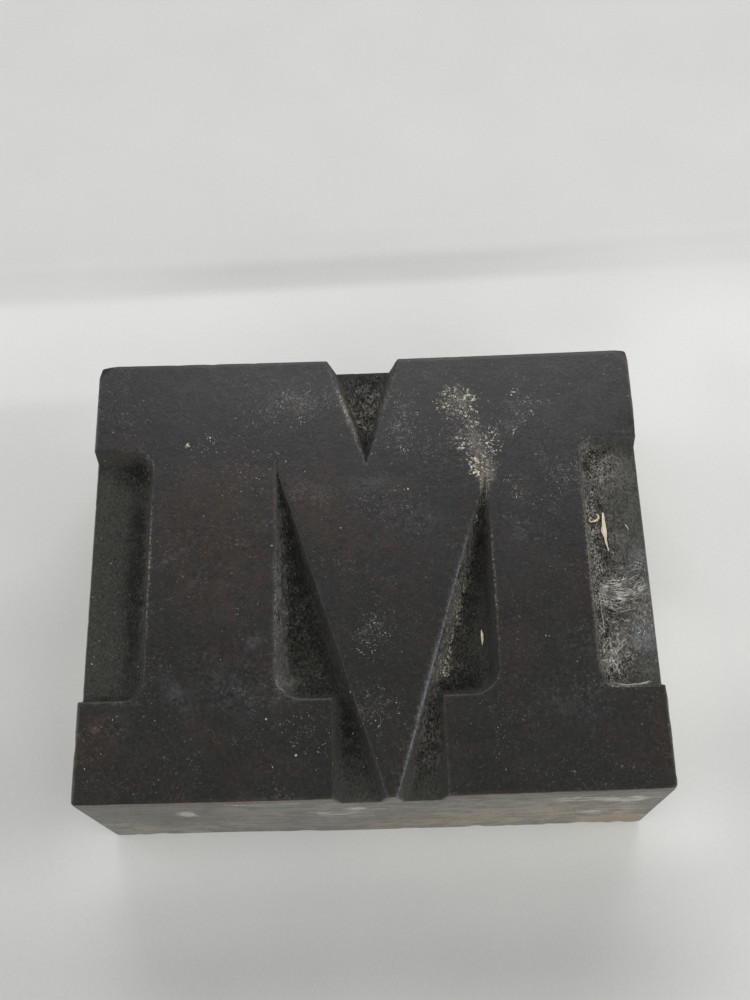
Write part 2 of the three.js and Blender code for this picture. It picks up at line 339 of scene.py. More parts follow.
# How thick the dust lies in each cut.
floor_dust_marks = [
    (29.6, 0.0, 8.0, 26.0, 0, 0.74), (27.4, 13.0, 3.0, 2.6, 10, 0.6), (28.6, -11.0, 3.0, 3.4, 0, 0.4),
    (26.4, 0.0, 1.0, 17.0, 0, 0.9), (28.8, 12.0, 3.4, 3.6, 0, 0.5), (29.6, -4.0, 4.6, 1.6, 6, 0.7),
    (28.6, -10.6, 3.6, 2.0, -8, 0.4), (32.0, -6.6, 2.0, 3.4, 20, 0.7), (27.4, -12.4, 1.8, 1.8, 0, 0.7),
    (14.2, 9.0, 2.0, 4.0, 0, 0.9), (9.0, -8.0, 19.0, 0.8, 72.9, 1.1), (10.0, -7.0, 1.0, 7.6, -14, 0.25),
    (9.0, -12.6, 2.0, 1.2, 0, 0.3), (6.6, -20.0, 1.8, 4.4, 0, 0.6), (0.3, 21.0, 4.6, 7.0, 0, 0.95),
    (-10.2, -3.0, 17.0, 0.7, 90, 1.0), (-9.6, -13.4, 1.6, 1.6, 0, 0.7), (-8.4, -13.4, 3.0, 1.8, 0, 0.2),
    (-26.3, 0.0, 0.7, 15.0, 0, 0.32), (-26.8, 13.2, 0.8, 1.8, 0, 0.45), (-28.8, 15.0, 4.0, 0.5, 0, 0.4),
    (-2.4, 19.0, 7.0, 0.8, -72, 0.8),
]


def marked(marks, x, y):
    """How strong the marks are at a point."""
    total = 0.0
    falling, mark_end = 1.4, 4
    for middle_x, middle_y, half_length, half_breadth, turn, strength in marks:
        away_x, away_y = x - middle_x, y - middle_y
        cos, sin = math.cos(math.radians(turn)), math.sin(math.radians(turn))
        run = (away_x * cos + away_y * sin) / half_length
        rise = (away_y * cos - away_x * sin) / half_breadth
        squared = run * run + rise * rise
        if squared < mark_end:
            total += strength * math.exp(-falling * squared)
    return total


# Every point of the block's mesh carries what its finish needs to know. Zones: how much it is cut, side and
# end, and how stained. Edges: how much it is rim, worn arris, bared wood and wall; the rim and the arris get a
# paler colour that is partly wear and partly painted highlight. Marks: its powder, its brown or tan, its haze
# or pale, and its dust. Cuts: how torn it is, and how dark with soot and painted shadow.
arris_reach = 0.3
ink_run = 3.4
zones, edges, marks, cuts = [], [], [], []
for vertex in worn:
    _, wall, floor, rim_share = part_share[vertex]
    at, normal = vertex.co, vertex.normal
    cut = wall + floor
    flank = (1 - cut) * smooth_step(1 - normal.z, 0.3, 0.75) * (1 - rim_share)
    sideways = math.hypot(normal.x, normal.y) or 1
    end = (normal.x / sideways) ** 2
    to_side = min(half_width - abs(at.x), half_body - abs(at.y))
    arris = smooth_step(arris_reach - to_side, 0, arris_reach) * smooth_step(normal.z, 0.05, 0.5) * (1 - cut)
    edges.append((rim_share, arris, bared[vertex], wall))
    cuts.append([min(marked(kind, at.x, at.y), 1) if cut else 0.0 for kind in (torn_marks, soot_and_shadow_marks)] + [0.0])
    if flank < 0.5:
        stain = 0.0
        kinds = (powder_marks, brown_marks, haze_and_rim_highlight_marks, floor_dust_marks)
        marks.append([marked(kind, at.x, at.y) for kind in kinds])
    elif at.y < 0 and end < 0.5:
        stain = marked(front_grime_marks, at.x, at.z)
        marks.append((0.0, marked(front_tan_marks, at.x, at.z), marked(front_pale_marks, at.x, at.z), 0.0))
    else:
        # Ink has run over the other edges of the face, and the sides below have patches of tan and paler wood.
        stain = smooth_step(at.z + ink_run * ripple(at, 5, 47), type_height - ink_run, type_height)
        marks.append((0.0, max(0.0, ripple(at, 13, 41)) * 2.2, max(0.0, ripple(at, 6, 43) - 0.42) * 3, 0.0))
    zones.append((cut, flank, end, min(stain, 1.0)))

crease_angle = math.radians(55)
for edge in wood.edges:
    edge.smooth = edge.calc_face_angle(0) < crease_angle
for face in wood.faces:
    face.smooth = True


def finished(bm, name):
    """Makes a piece's object from its mesh, which is scaled to metres."""
    bmesh.ops.scale(bm, vec=(MM,) * 3, verts=bm.verts)
    mesh = bpy.data.meshes.new(name)
    bm.to_mesh(mesh)
    bm.free()
    piece = bpy.data.objects.new(name, mesh)
    bpy.context.scene.collection.objects.link(piece)
    return piece


wood.verts.index_update()
inked_block = finished(wood, "inked_block")
for name, values in (("zones", zones), ("edges", edges), ("marks", marks)):
    attribute = inked_block.data.attributes.new(name, "FLOAT_COLOR", "POINT")
    attribute.data.foreach_set("color", [number for value in values for number in value])
attribute = inked_block.data.attributes.new("cuts", "FLOAT_VECTOR", "POINT")
attribute.data.foreach_set("vector", [number for value in cuts for number in value])

# The finish of the block
# Ink rubbed into the wood until the face is a dark satin, slate in one place and brown in the next. The routed
# floors were never planed and hold fluff and powder, and the sides are bare wood, grey with dust.
tree = None


def join(output, entry):
    tree.links.new(output, entry)


def feed(made, inputs):
    """Gives each named input of a node a value, or another node's output."""
    for name, value in inputs.items():
        if isinstance(value, bpy.types.NodeSocket):
            join(value, made.inputs[name])
        else:
            made.inputs[name].default_value = value


def node(kind, inputs, **options):
    """Adds a node to the tree that is being made, with its options and its inputs."""
    made = tree.nodes.new("ShaderNode" + kind)
    for name, value in options.items():
        setattr(made, name, value)
    feed(made, inputs)
    return made


def sums(operation):
    """One way to reckon with numbers and the outputs of nodes."""
    return lambda *values: node("Math", dict(enumerate(values)), operation=operation).outputs[0]


times, plus, minus, over, times_plus = map(sums, ("MULTIPLY", "ADD", "SUBTRACT", "DIVIDE", "MULTIPLY_ADD"))
at_most, at_least, unsigned, under = map(sums, ("MINIMUM", "MAXIMUM", "ABSOLUTE", "LESS_THAN"))
part_turn, softly_at_most = map(sums, ("FRACT", "SMOOTH_MIN"))


def fade(value, start, end, first=0.0, last=1.0):
    """A smooth change from first to last as the value goes from start to end."""
    return node("MapRange", {"Value": value, "From Min": start, "From Max": end, "To Min": first,
        "To Max": last}, interpolation_type="SMOOTHSTEP").outputs[0]


def blend(share, first, second, way="MIX"):
    """Two colours, or outputs that carry colours, mixed by a share."""
    first, second = ((*c, 1) if isinstance(c, tuple) else c for c in (first, second))
    return node("Mix", {0: share, 6: first, 7: second}, data_type="RGBA", blend_type=way).outputs[2]


def between(share, first, second):
    """Two numbers mixed by a share."""
    return node("Mix", {0: share, 2: first, 3: second}, data_type="FLOAT").outputs[0]


def shaded(colour, gain):
    """A colour made darker or lighter by a gain."""
    return blend(1.0, colour, node("CombineColor", {0: gain, 1: gain, 2: gain}).outputs[0], "MULTIPLY")


def clouds(vector, size, detail=2.0, roughness=0.5, distortion=0.0):
    """Noise from 0 to 1, with features of about that size in millimetres."""
    return node("TexNoise", {"Vector": vector, "Scale": 1 / size, "Detail": detail, "Roughness": roughness,
        "Distortion": distortion}).outputs["Fac"]


def stretched(vector, scale):
    return node("Mapping", {"Vector": vector, "Scale": scale}, vector_type="POINT").outputs[0]


def reckoned(operation, *vectors):
    """One vector made from others."""
    return node("VectorMath", dict(enumerate(vectors)), operation=operation).outputs[0]


def group(name, amounts, outputs):
    """Starts a group of nodes that takes a vector and some amounts: the group, its inputs and its outputs."""
    global tree
    tree = bpy.data.node_groups.new(name, "ShaderNodeTree")
    tree.interface.new_socket("Vector", in_out="INPUT", socket_type="NodeSocketVector")
    for label in amounts:
        tree.interface.new_socket(label, in_out="INPUT", socket_type="NodeSocketFloat")
    for label in outputs:
        kind = "NodeSocketColor" if label == "Color" else "NodeSocketFloat"
        tree.interface.new_socket(label, in_out="OUTPUT", socket_type=kind)
    given = list(tree.nodes.new("NodeGroupInput").outputs)[:len(amounts) + 1]
    return tree, given, tree.nodes.new("NodeGroupOutput").inputs


def use(used, **inputs):
    """Places a group in the tree that is being made."""
    made = tree.nodes.new("ShaderNodeGroup")
    made.node_tree = used
    feed(made, inputs)
    return made.outputs


# Specks: a scatter of small round dots, of uneven size.
specks, (at, spacing, size, share), result = group("specks", ("Spacing", "Size", "Share"), ("Mask",))
cells = node("TexVoronoi", {"Vector": at, "Scale": over(1.0, spacing), "Randomness": 1.0}, feature="F1",
    distance="EUCLIDEAN")
chance = node("SeparateColor", {0: cells.outputs["Color"]}).outputs
chosen = under(chance[0], share)
radius = times(over(size, spacing), times_plus(chance[1], 0.35, 0.3))
inside = minus(1.0, over(cells.outputs["Distance"], radius))
join(times(chosen, fade(inside, 0.0, 0.45)), result["Mask"])

# Stray fibres: thin curling lines, like fluff on rough wood.
fibres, (at, spacing, width), result = group("stray_fibres", ("Spacing", "Width"), ("Mask",))
field = node("TexNoise", {"Vector": at, "Scale": over(1.0, spacing), "Detail": 1.0,
    "Roughness": 0.4, "Distortion": 0.6}).outputs["Fac"]
off_line = unsigned(minus(field, 0.5))
join(minus(1.0, softly_at_most(1.0, over(off_line, width), 0.1)), result["Mask"])

# The inked printing face.
ink_slate = (0.0082, 0.0083, 0.0096)
ink_plum = (0.0135, 0.0100, 0.0104)
ink_umber = (0.0148, 0.0100, 0.0074)
ink_olive = (0.0090, 0.0092, 0.0078)
ink_brown = (0.0178, 0.0118, 0.0088)
ink_haze = (0.050, 0.050, 0.054)
# The worn rim's pale bluish grey: partly worn wood, partly a painted highlight.
worn_rim_highlight = (0.135, 0.135, 0.150)
brown_rim = (0.075, 0.056, 0.045)
front_arris = (0.100, 0.050, 0.036)
end_arris = (0.240, 0.225, 0.205)
rust_stain = (0.056, 0.034, 0.026)
paper_speck = (0.42, 0.41, 0.39)
cream_powder = (0.46, 0.41, 0.315)

inked_face, (at, brown, haze, powder, rim, arris, end), result = group("inked_face",
    ("Brown", "Haze", "Powder", "Rim", "Arris", "End"), ("Color", "Roughness", "Height"))
wide = clouds(at, 8.0, 3, 0.55, 0.4)
patchy = clouds(at, 2.0, 4, 0.65, 0.4)
fine = clouds(at, 0.5, 4, 0.75, 0.4)
pitted = clouds(at, 0.2, 2, 0.6)
head_share = fade(node("SeparateXYZ", {0: at}).outputs[1], -14.0, 24.0)
drift = clouds(at, 4.4, 4, 0.65, 0.6)
colour = blend(fade(times_plus(wide, 0.8, head_share), 0.3, 0.9), ink_olive, ink_slate)
colour = blend(fade(drift, 0.44, 0.62, 0.0, 0.8), colour, blend(head_share, ink_umber, ink_plum))
brown_share = times(brown, fade(patchy, 0.25, 0.6))
colour = blend(fade(brown_share, 0.02, 0.6), colour, ink_brown)
colour = blend(fade(brown_share, 0.8, 1.7), colour, rust_stain)
haze_share = times(haze, fade(plus(patchy, fine), 0.8, 1.2))
colour = blend(at_most(haze_share, 0.9), colour, ink_haze)
mottle = times_plus(fade(pitted, 0.3, 0.7), 0.6, times_plus(fade(fine, 0.3, 0.7), 0.7, times(patchy, 0.8)))
colour = shaded(colour, mottle)
# Along the rims the ink is worn thin, and the pale bluish grey there is partly the worn wood and partly a
# painted highlight on the rounded rim. Dust lies on the worn wood in dots and dashes.
rim_broken = clouds(at, 0.34, 3, 0.75, 0.4)
rim_wear_and_highlight_share = times(times_plus(haze, 0.8, 0.24), fade(rim_broken, 0.42, 0.60, 0.08, 1.0))
rim_share = times(rim, at_most(rim_wear_and_highlight_share, 1.0))
rim_wear_and_highlight_tone = blend(at_least(fade(wide, 0.48, 0.58), fade(haze, 0.2, 0.8)), brown_rim, worn_rim_highlight)
colour = blend(rim_share, colour, rim_wear_and_highlight_tone)
rim_dust = times(rim, times(fade(powder, 0.1, 0.8), fade(rim_broken, 0.48, 0.62, 0.0, 0.9)))
colour = blend(rim_dust, colour, cream_powder)
# The outer arris is paler, red-brown at the front and grey at the ends: partly worn wood, partly a painted
# highlight on its rounded edge.
arris_wear_and_highlight_tone = blend(end, front_arris, end_arris)
arris_share = times(arris, fade(clouds(at, 1.4, 4, 0.7), 0.3, 0.6, 0.25, 0.9))
colour = blend(arris_share, colour, arris_wear_and_highlight_tone)
# Scuffs: short curved strokes, each a piece of a thin line in the noise.
scuff_places = fade(clouds(at, 0.8, 2), 0.56, 0.68, 0, 0.5)
scuffs = use(fibres, Vector=at, Spacing=1.0, Width=0.03)["Mask"]
colour = blend(times(scuffs, scuff_places), colour, ink_haze)
# Dust that has caught on the ink: a bloom of faint flecks that gathers in drifts, and plainer grains in it.
shaking = node("TexNoise", {"Vector": at, "Scale": 3.0, "Detail": 1.0}).outputs["Color"]
uneven = reckoned("ADD", at, reckoned("MULTIPLY", shaking, (0.3, 0.3, 0.3)))
drifts = times_plus(clouds(at, 1.6, 3, 0.6), 0.6, clouds(at, 5.0, 3, 0.6))
thick = times_plus(at_most(powder, 1.0), 0.85, drifts)
bloom_grain = times_plus(thick, 0.22, clouds(at, 0.24, 2, 0.7, 0.8))
bloom = fade(bloom_grain, 0.80, 0.94, 0.0, 0.24)
plain = use(specks, Vector=uneven, Spacing=0.62, Size=0.24, Share=fade(thick, 0.86, 1.35, 0.01, 0.6))["Mask"]
colour = blend(bloom, colour, paper_speck)
# Fluff on the ink: short faint curls, where the drifts are thickest.
curls = use(fibres, Vector=uneven, Spacing=0.7, Width=0.035)["Mask"]
curl_share = times(fade(thick, 0.84, 1.25, 0.02, 0.34), fade(clouds(at, 0.5, 2), 0.54, 0.66))
colour = blend(times(curls, curl_share), colour, paper_speck)
colour = blend(times(plain, fade(fine, 0.35, 0.65, 0.03, 0.26)), colour, paper_speck)
grit = times_plus(clouds(at, 0.34, 3, 0.75, 0.5), 0.8, times(patchy, 0.45))
powder_share = fade(times_plus(powder, 0.2, grit), 0.7, 0.86)
powder_share = times(powder_share, fade(powder, 0.2, 0.9, 0.0, 0.08))
colour = blend(powder_share, colour, cream_powder)
join(colour, result["Color"])
roughness = fade(wide, 0.3, 0.7, 0.23, 0.30)
roughness = times_plus(fine, 0.12, roughness)
roughness = times_plus(haze_share, 0.2, roughness)
roughness = times_plus(powder_share, 0.4, roughness)
join(at_most(roughness, 0.95), result["Roughness"])
height = times(fine, 0.018)
height = times_plus(pitted, 0.012, height)
height = times_plus(patchy, 0.024, height)
height = times_plus(powder_share, 0.06, height)
height = times_plus(plain, 0.03, height)
join(height, result["Height"])

# The routed floors and walls: smooth and dull where the cutter went clean, torn and fluffy elsewhere.
cut_smooth = (0.0408, 0.0418, 0.0360)
cut_dark = (0.0060, 0.0062, 0.0050)
cut_pit = (0.0022, 0.0022, 0.0018)
cut_olive = (0.0225, 0.0226, 0.0168)
cut_fibre = (0.115, 0.108, 0.088)
floor_grey = (0.105, 0.101, 0.091)
floor_fluff = (0.400, 0.382, 0.340)
veil_grey = (0.125, 0.128, 0.134)
# The walls' ink is lighter than the floors': partly dust and wear, and partly painted light for the light that
# falls on the walls.
wall_ink_with_light = (0.054, 0.051, 0.046)
wall_dust = (0.120, 0.112, 0.096)
cut_wood, (at, dust, wall, powder, veil, torn, soot_and_shadow), result = group("cut_wood",
    ("Dust", "Wall", "Powder", "Veil", "Torn", "Soot"), ("Color", "Roughness", "Height"))
felt = clouds(at, 0.34, 4, 0.8, 0.8)
patches = clouds(at, 1.8, 4, 0.65, 0.5)
crumbly = clouds(at, 0.2, 3, 0.75, 0.6)
holes = clouds(at, 0.6, 3, 0.7, 0.8)
grain = clouds(stretched(at, (1.0, 0.6, 1.0)), 0.2, 1, 0.5, 0.4)
dust_share = at_most(dust, 1.0)
# Torn fibre: two tangles of fine filaments, one over the other.
coarse_tangle = use(fibres, Vector=at, Spacing=0.62, Width=0.055)["Mask"]
fine_tangle = use(fibres, Vector=stretched(at, (1.0, 0.7, 1.3)), Spacing=0.36, Width=0.07)["Mask"]
strands = at_least(times(coarse_tangle, fade(felt, 0.4, 0.6)), times(fine_tangle, fade(felt, 0.6, 0.4)))
rough_tone = blend(fade(times_plus(patches, 0.6, felt), 0.6, 1.0), cut_dark, cut_olive)
smooth_tone = blend(fade(plus(patches, felt), 0.7, 1.3, 0.0, 0.5), cut_smooth, cut_olive)
colour = blend(fade(torn, 0.0, 0.5), smooth_tone, rough_tone)
wall_tone = blend(times(dust_share, fade(holes, 0.35, 0.6)), wall_ink_with_light, wall_dust)
colour = blend(times(wall, fade(felt, 0.36, 0.6, 0.15, 0.9)), colour, wall_tone)
uneven_felt = times_plus(patches, 0.8, felt)
coat = times(dust_share, fade(uneven_felt, 0.6, 1.15, 0.1, 1.0))
colour = blend(coat, colour, floor_grey)
# A soft veil of settled dust lies near the open side.
veil_share = times(veil, fade(patches, 0.3, 0.65, 0.35, 0.8))
colour = blend(at_most(veil_share, 0.9), colour, veil_grey)
strand_share = times(strands, fade(times_plus(dust_share, 0.14, patches), 0.36, 0.7, 0.1, 0.75))
strand_share = times(strand_share, minus(1.0, times(wall, 0.6)))
strand_share = times(strand_share, fade(torn, 0.0, 0.7, 0.15, 0.7))
strand_tone = blend(dust_share, cut_fibre, floor_fluff)
colour = blend(strand_share, colour, strand_tone)
pits = times(fade(holes, 0.45, 0.36), fade(torn, 0.1, 0.9, 0.0, 0.9))
colour = blend(pits, colour, cut_pit)
# Crumbs of dust that stand on the torn fibre.
standing = times_plus(at_most(torn, 1.0), 0.12, crumbly)
standing = times(fade(standing, 0.64, 0.78), fade(torn, 0.1, 0.8, 0.0, 0.75))
colour = blend(standing, colour, strand_tone)
fluff = times_plus(dust_share, 0.3, felt)
fluff = times(fade(fluff, 0.76, 1.0), fade(dust, 0.5, 1.5, 0, 0.7))
colour = blend(fluff, colour, floor_fluff)
# The soot and the painted shadow, and the grain and lumps of the felt, which show most where the wood is torn.
soot_and_shadow_share = times(soot_and_shadow, fade(plus(patches, felt), 0.85, 1.15, 1.0, 0.2))
colour = blend(times(soot_and_shadow_share, 0.85), colour, cut_dark)
depth = times(fade(torn, 0.0, 0.8, 2.0, 5.4), fade(wall, 0.2, 1.0, 1.0, 0.6))
gain = times_plus(minus(grain, 0.5), depth, 1.0)
lumps = times(fade(clouds(at, 1.1, 2), 0.36, 0.64, -0.32, 0.32), fade(torn, 0.1, 0.7, 0.12, 1.0))
gain = times(at_least(gain, 0.12), plus(lumps, 1.0))
colour = shaded(colour, gain)
caught = fade(times_plus(powder, 0.3, grain), 0.66, 0.8)
caught = times(caught, fade(powder, 0.1, 0.6, 0, 0.8))
colour = blend(caught, colour, cream_powder)
motes = use(specks, Vector=at, Spacing=0.55, Size=0.2, Share=0.06)["Mask"]
colour = blend(times(motes, 0.45), colour, paper_speck)
join(colour, result["Color"])
join(fade(felt, 0.3, 0.7, 0.7, 0.9), result["Roughness"])
height = times(plus(felt, grain), fade(torn, 0.0, 0.8, 0.04, 0.2))
height = times_plus(strands, 0.05, height)
height = times_plus(pits, -0.12, height)
join(times_plus(standing, 0.08, height), result["Height"])

# The planed sides and the foot. The wood grew round a pith that lay below the block, so its rings run along the
# sides and curve over the ends, with fine fibre between them. Grime and run ink have greyed it.
side_grey = (0.285, 0.278, 0.252)
side_dark = (0.165, 0.158, 0.140)
ring_brown = (0.115, 0.095, 0.072)
side_pale = (0.62, 0.61, 0.58)
side_tan = (0.40, 0.335, 0.258)
side_rust = (0.34, 0.235, 0.165)
end_pale = (0.205, 0.180, 0.145)
end_grain = (0.105, 0.090, 0.072)
pore_dark = (0.030, 0.026, 0.022)
run_ink = (0.022, 0.020, 0.019)
pith = (0.0, -15.0, -40.0)
ring_gap = 1.7
planed_side, (at, pale, tan, end, bare, stain), result = group("planed_side",
    ("Pale", "Tan", "End", "Bared", "Stain"), ("Color", "Roughness", "Height"))
from_pith = reckoned("MULTIPLY", reckoned("SUBTRACT", at, pith), (0.0, 1.0, 1.0))
radius = node("VectorMath", {0: from_pith}, operation="LENGTH").outputs["Value"]
wavering = clouds(stretched(at, (0.25, 1.0, 1.0)), 15.0, 1, 0.5)
growth = over(times_plus(wavering, 5.0, radius), ring_gap)
rings = fade(part_turn(growth), 0.55, 1.0)
streaks = clouds(stretched(at, (0.2, 1.0, 0.7)), 0.6, 2, 0.5, 0.3)
bands = clouds(stretched(at, (0.12, 0.9, 1.0)), 1.6, 3, 0.6, 0.2)
grime = clouds(stretched(at, (0.7, 1.0, 0.7)), 2.4, 5, 0.75, 0.5)
dusty = clouds(at, 0.3, 1, 0.5)
tone = times_plus(streaks, 0.44, times(bands, 0.14))
tone = times_plus(dusty, 0.20, tone)
tone = times_plus(grime, 0.36, tone)
colour = blend(fade(tone, 0.50, 0.64), side_dark, side_grey)
colour = blend(times(rings, fade(grime, 0.36, 0.64, 0.5, 0.12)), colour, ring_brown)
tan_share = times(tan, fade(tone, 0.52, 0.62, 0.2, 1.05))
colour = blend(at_most(tan_share, 0.8), colour, side_tan)
rust = times(fade(tan, 1.0, 2.0, 0.0, 0.8), fade(bands, 0.36, 0.6))
colour = blend(rust, colour, side_rust)
pale_share = times(fade(pale, 0.2, 0.8), fade(tone, 0.50, 0.70, 0.05, 0.9))
pale_share = at_least(pale_share, fade(pale, 1.1, 1.5))
colour = blend(at_most(pale_share, 0.85), colour, side_pale)
pores = use(specks, Vector=stretched(at, (0.2, 1.0, 1.0)), Spacing=0.26, Size=0.12, Share=0.7)["Mask"]
rays = clouds(stretched(at, (1.0, 1.0, 0.12)), 0.3, 3, 0.7)
end_tone = blend(fade(plus(rays, grime), 0.7, 1.3), end_grain, end_pale)
end_tone = blend(times(rings, 0.55), end_tone, ring_brown)
end_tone = blend(times(pores, 0.5), end_tone, pore_dark)
colour = blend(end, colour, end_tone)
uneven = plus(grime, streaks)
stain_share = times(stain, fade(uneven, 0.85, 1.15, 0.35, 0.9))
run_down = fade(times_plus(uneven, 0.7, stain), 1.25, 1.45, 0.0, 0.9)
stain_share = at_least(stain_share, run_down)
colour = blend(stain_share, colour, run_ink)
colour = blend(times(bare, 0.7), colour, side_tan)
join(colour, result["Color"])
join(fade(streaks, 0.3, 0.7, 0.55, 0.75), result["Roughness"])
height = times_plus(rings, -0.015, times(streaks, 0.03))
height = times_plus(times(pores, end), -0.03, height)
join(height, result["Height"])


def material(piece, name, settings):
    """Gives a piece a new material, and returns its shader's inputs and a vector in millimetres."""
    global tree
    made = bpy.data.materials.new(name)
    made.use_nodes = True
    piece.data.materials.append(made)
    tree = made.node_tree
    shader = tree.nodes["Principled BSDF"]
    feed(shader, settings)
    return shader.inputs, stretched(node("TexCoord", {}).outputs["Object"], (1 / MM,) * 3)


def raised_by(height, strength):
    """The way that a surface faces when it is raised by a height in millimetres."""
    return node("Bump", {"Strength": strength, "Distance": MM, "Height": height}).outputs["Normal"]


def carried(name):
    """The four numbers that each point of the block carries under a name."""
    source = node("Attribute", {}, attribute_name=name).outputs
    return (*node("SeparateColor", {0: source["Color"]}).outputs, source["Alpha"])


shader, at = material(inked_block, "inked_wood", {"Specular IOR Level": 0.36})
cut, flank, end, stain = carried("zones")
rim_share, arris, bare, wall = carried("edges")
powder, warm, pale, dust = carried("marks")
cut_state = node("Attribute", {}, attribute_name="cuts").outputs["Vector"]
torn, soot_and_shadow, _ = node("SeparateXYZ", {0: cut_state}).outputs
top = use(inked_face, Vector=at, Brown=warm, Haze=pale, Powder=powder, Rim=rim_share, Arris=arris, End=end)
routed = use(cut_wood, Vector=at, Dust=dust, Wall=wall, Powder=powder, Veil=pale, Torn=torn, Soot=soot_and_shadow)
planed = use(planed_side, Vector=at, Pale=pale, Tan=warm, End=end, Bared=bare, Stain=stain)
join(blend(cut, blend(flank, top["Color"], planed["Color"]), routed["Color"]), shader["Base Color"])
roughness, height = (
    between(cut, between(flank, top[name], planed[name]), routed[name]) for name in ("Roughness", "Height")
)
join(roughness, shader["Roughness"])
join(raised_by(height, 1.0), shader["Normal"])
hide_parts("type_block")
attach(inked_block, "root")

# The crumbs
# Cream powder that has dried and broken up on the face, and paler grains scattered round it. Each crumb is a
# lump or a sliver that lies loose on the ink.
crumb_luck = random.Random(7)


def rest_place(x, y):
    """The point of the block's upper surface at x and y, and the way it faces there."""
    place, facing, _, _ = surface.ray_cast(Vector((x, y, type_height + 1)), DOWN)
    return place, facing


def scatter(marks, count, clumping, chance):
    """Places under the marks, more of them where a mark is strong, in clumps of about the size given."""
    places = []
    weights = [half_length * half_breadth * strength for _, _, half_length, half_breadth, _, strength in marks]
    while len(places) < count:
        middle_x, middle_y, half_length, half_breadth, turn, _ = chance.choices(marks, weights)[0]
        away, bearing = math.sqrt(chance.random()) * chance.uniform(0.8, 1.15), chance.uniform(0, math.tau)
        run, rise = away * math.cos(bearing) * half_length, away * math.sin(bearing) * half_breadth
        cos, sin = math.cos(math.radians(turn)), math.sin(math.radians(turn))
        x, y = middle_x + run * cos - rise * sin, middle_y + run * sin + rise * cos
        clump = ripple(Vector((x, y, 0)), clumping, 31)
        if chance.random() < smooth_step(clump, -0.2, 0.25) and abs(x) < half_width - 0.5:
            places.append((x, y))
    return places


def lay_crumb(bm, x, y, size, stretch):
    """Adds one lump, resting on the block and no higher than the type."""
    place, facing = rest_place(x, y)
    thick = size * crumb_luck.uniform(0.45, 0.8)
    spin = Matrix.Rotation(crumb_luck.uniform(0, math.tau), 4, "Z")
    turn = facing.rotation_difference(UP).inverted().to_matrix().to_4x4() @ spin
    shape = Matrix.Diagonal((size * stretch, size / math.sqrt(stretch), thick, 1))
    lump = bmesh.ops.create_icosphere(bm, subdivisions=1, radius=0.5)["verts"]
    for vertex in lump:
        vertex.co *= crumb_luck.uniform(0.7, 1.25)
    bmesh.ops.transform(bm, matrix=Matrix.Translation(place + facing * thick * 0.3) @ turn @ shape, verts=lump)
    for vertex in lump:
        vertex.co.z = min(vertex.co.z, type_height - skin)


# Where the powder lies in heaps, as marks.
powder_heaps = [
    (11.3, 20.4, 2.6, 2.4, 0, 0.8), (13.0, 21.0, 0.8, 1.2, 0, 2.4), (12.8, 19.2, 1.0, 0.9, 0, 1.6),
    (10.6, 21.6, 1.2, 0.9, 0, 1.4), (9.6, 20.4, 0.9, 1.6, 0, 0.8), (12.6, 17.4, 1.4, 1.0, 0, 0.6),
    (15.6, 15.2, 1.0, 2.0, 0, 1.2), (13.4, 14.2, 2.2, 2.2, 0, 0.6), (11.6, 14.7, 1.2, 1.2, 0, 0.9),
    (13.3, 12.2, 1.2, 1.7, 0, 2.0), (14.2, 12.9, 0.8, 0.8, 0, 1.4), (13.2, 11.2, 0.9, 0.7, 0, 3.2),
    (15.2, 11.6, 1.0, 0.9, 0, 0.5), (14.3, 9.9, 0.7, 0.7, 0, 1.8), (14.1, 8.8, 0.3, 1.6, 0, 3.0),
    (13.4, 6.6, 0.2, 2.4, -17, 1.4), (8.7, -11.4, 0.2, 2.2, -17, 1.6), (8.4, -12.7, 0.6, 0.4, 0, 1.4),
]
crumb_count = 1800
crumbs = bmesh.new()
for x, y in scatter(powder_heaps, crumb_count, 0.5, crumb_luck):
    lay_crumb(crumbs, x, y, crumb_luck.triangular(0.05, 0.2, 0.08), crumb_luck.uniform(1, 2))
# The largest crumbs, four of them in one lump on the heavy stem: their places and sizes.
big_crumbs = [
    (-21.5, 15.8, 0.42), (-21.3, 15.6, 0.3), (-21.7, 15.6, 0.28), (-21.4, 16.0, 0.22), (13.1, 11.3, 0.36),
    (13.5, 11.0, 0.32), (12.9, 10.9, 0.28), (13.9, 11.6, 0.26), (12.5, 12.1, 0.32), (13.2, 12.8, 0.3),
    (12.2, 12.7, 0.24), (12.8, 20.6, 0.26), (11.2, 21.2, 0.24), (13.1, 19.4, 0.24),
]
big_stretch = 1.2
for x, y, size in big_crumbs:
    lay_crumb(crumbs, x, y, size, big_stretch)
powder_crumbs = finished(crumbs, "powder_crumbs")


def patchy_finish(piece, name, roughness, patches, start, end, dark, pale):
    """A dull material that goes from dark to pale in patches, made by clouds with the settings given."""
    shader, at = material(piece, name, {"Roughness": roughness})
    join(blend(fade(clouds(at, *patches), start, end), dark, pale), shader["Base Color"])
    return shader, at


chalk_shade = (0.14, 0.13, 0.10)
chalk_light = (0.88, 0.83, 0.68)
shader, at = patchy_finish(powder_crumbs, "chalk", 0.9, (0.3, 1, 0.5), 0.38, 0.66, chalk_shade, chalk_light)
join(raised_by(clouds(at, 0.1, 2), 0.6), shader["Normal"])
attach(powder_crumbs, "root")

# The paler grains lie where the powder marks are faint and wide, and a few anywhere.
grain_drifts = [mark for mark in powder_marks if 0.15 < mark[5] < 0.5 and mark[3] > 1]
drift_count, stray_count = 900, 130
grains = bmesh.new()
for x, y in scatter(grain_drifts, drift_count, 0.9, crumb_luck):
    lay_crumb(grains, x, y, crumb_luck.triangular(0.05, 0.16, 0.07), crumb_luck.choice((1.0, 1.3, 1.8, 2.8)))
for _ in range(stray_count):
    x, y = crumb_luck.uniform(-1, 1) * (half_width - 1), crumb_luck.uniform(-1, 1) * (half_body - 1)
    lay_crumb(grains, x, y, crumb_luck.triangular(0.06, 0.16, 0.08), crumb_luck.choice((1.0, 1.4, 2.4)))
